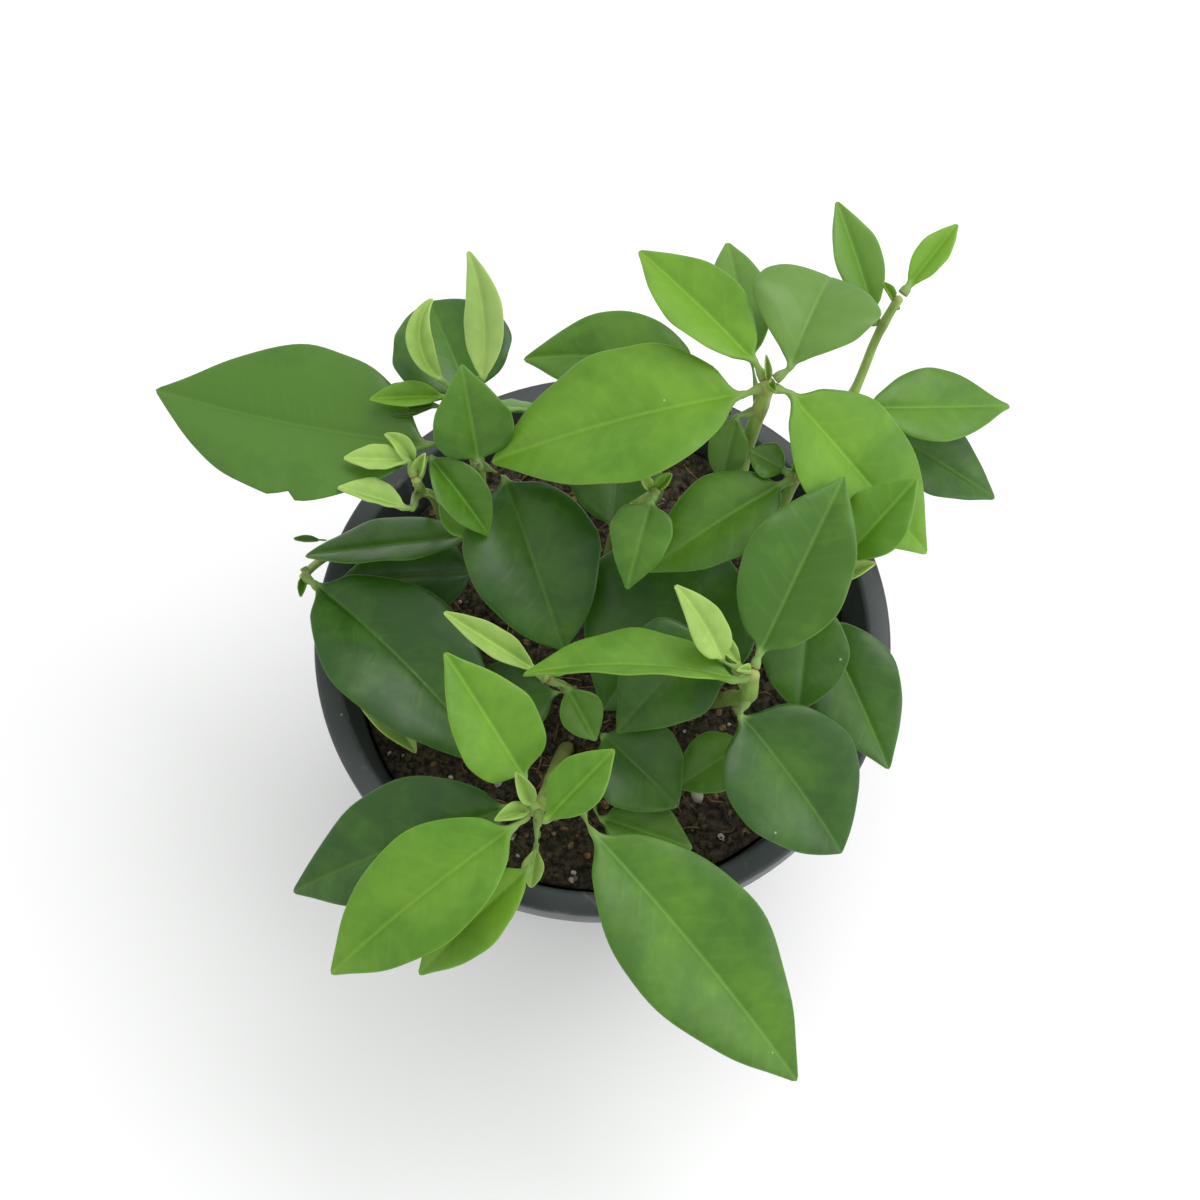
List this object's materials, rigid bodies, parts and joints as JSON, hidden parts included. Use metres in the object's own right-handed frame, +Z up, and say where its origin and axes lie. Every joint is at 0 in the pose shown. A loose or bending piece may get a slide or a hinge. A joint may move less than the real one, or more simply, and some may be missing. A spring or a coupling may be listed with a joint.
{
  "type": "potted peperomia",
  "caption": "Bushy peperomia with glossy oval green leaves on fleshy upright and trailing shoots, growing in a round tapered plastic nursery pot filled with potting soil.",
  "frame": {"origin": "centre of the pot's flat underside", "axes": "+Z up through the plant, +Y towards its back, +X to its right"},
  "size_m": [0.1731, 0.1627, 0.162],
  "materials": {
    "pot_plastic": "satin",
    "potting_soil": "matte",
    "stem": "satin",
    "leaf_mature": "satin",
    "leaf_middle": "satin",
    "leaf_bright": "satin",
    "leaf_pale": "satin"
  },
  "bodies": {
    "root": {"pot": "pot_plastic", "potting_soil": "potting_soil", "left_shoot": "stem", "left_side_shoot": "stem", "trailing_shoot": "stem", "back_right_shoot": "stem", "far_right_shoot": "stem", "middle_right_shoot": "stem", "centre_shoot": "stem", "right_shoot": "stem", "right_side_shoot": "stem", "front_shoot": "stem", "front_low_shoot": "stem", "centre_front_shoot": "stem", "crown_left_leaf": "leaf_bright", "crown_upper_leaf": "leaf_bright", "crown_back_leaf": "leaf_middle", "crown_fan_leaf": "leaf_middle", "crown_right_leaf": "leaf_bright", "crown_low_leaf": "leaf_middle", "crown_hanging_leaf": "leaf_middle", "outer_upper_leaf": "leaf_middle", "outer_tip_leaf": "leaf_bright", "outer_right_leaf": "leaf_middle", "outer_low_leaf": "leaf_mature", "left_big_leaf": "leaf_mature", "left_upright_leaf": "leaf_pale", "left_back_leaf": "leaf_mature", "left_diamond_leaf": "leaf_middle", "left_edge_leaf": "leaf_middle", "left_glossy_leaf": "leaf_mature", "centre_oval_leaf": "leaf_mature", "left_under_leaf": "leaf_mature", "young_yellow_leaf": "leaf_pale", "young_folded_leaf": "leaf_middle", "young_curled_leaf": "leaf_pale", "trailing_big_leaf": "leaf_mature", "front_bright_leaf": "leaf_bright", "front_dark_leaf": "leaf_mature", "front_left_leaf": "leaf_bright", "front_lower_leaf": "leaf_bright", "front_young_leaf": "leaf_bright", "front_big_leaf": "leaf_middle", "front_under_leaf": "leaf_middle", "right_tall_leaf": "leaf_middle", "right_pale_leaf": "leaf_pale", "right_folded_leaf": "leaf_bright", "right_dark_leaf": "leaf_mature", "right_front_leaf": "leaf_mature", "right_low_leaf": "leaf_middle", "right_upper_leaf": "leaf_bright", "right_glossy_leaf": "leaf_mature", "right_round_leaf": "leaf_mature", "middle_leaf": "leaf_middle", "middle_small_leaf": "leaf_middle", "centre_back_leaf": "leaf_mature", "heart_leaf": "leaf_middle", "thin_pale_leaf": "leaf_pale", "front_middle_leaf": "leaf_mature", "centre_pale_leaf": "leaf_middle"}
  },
  "joints": []
}
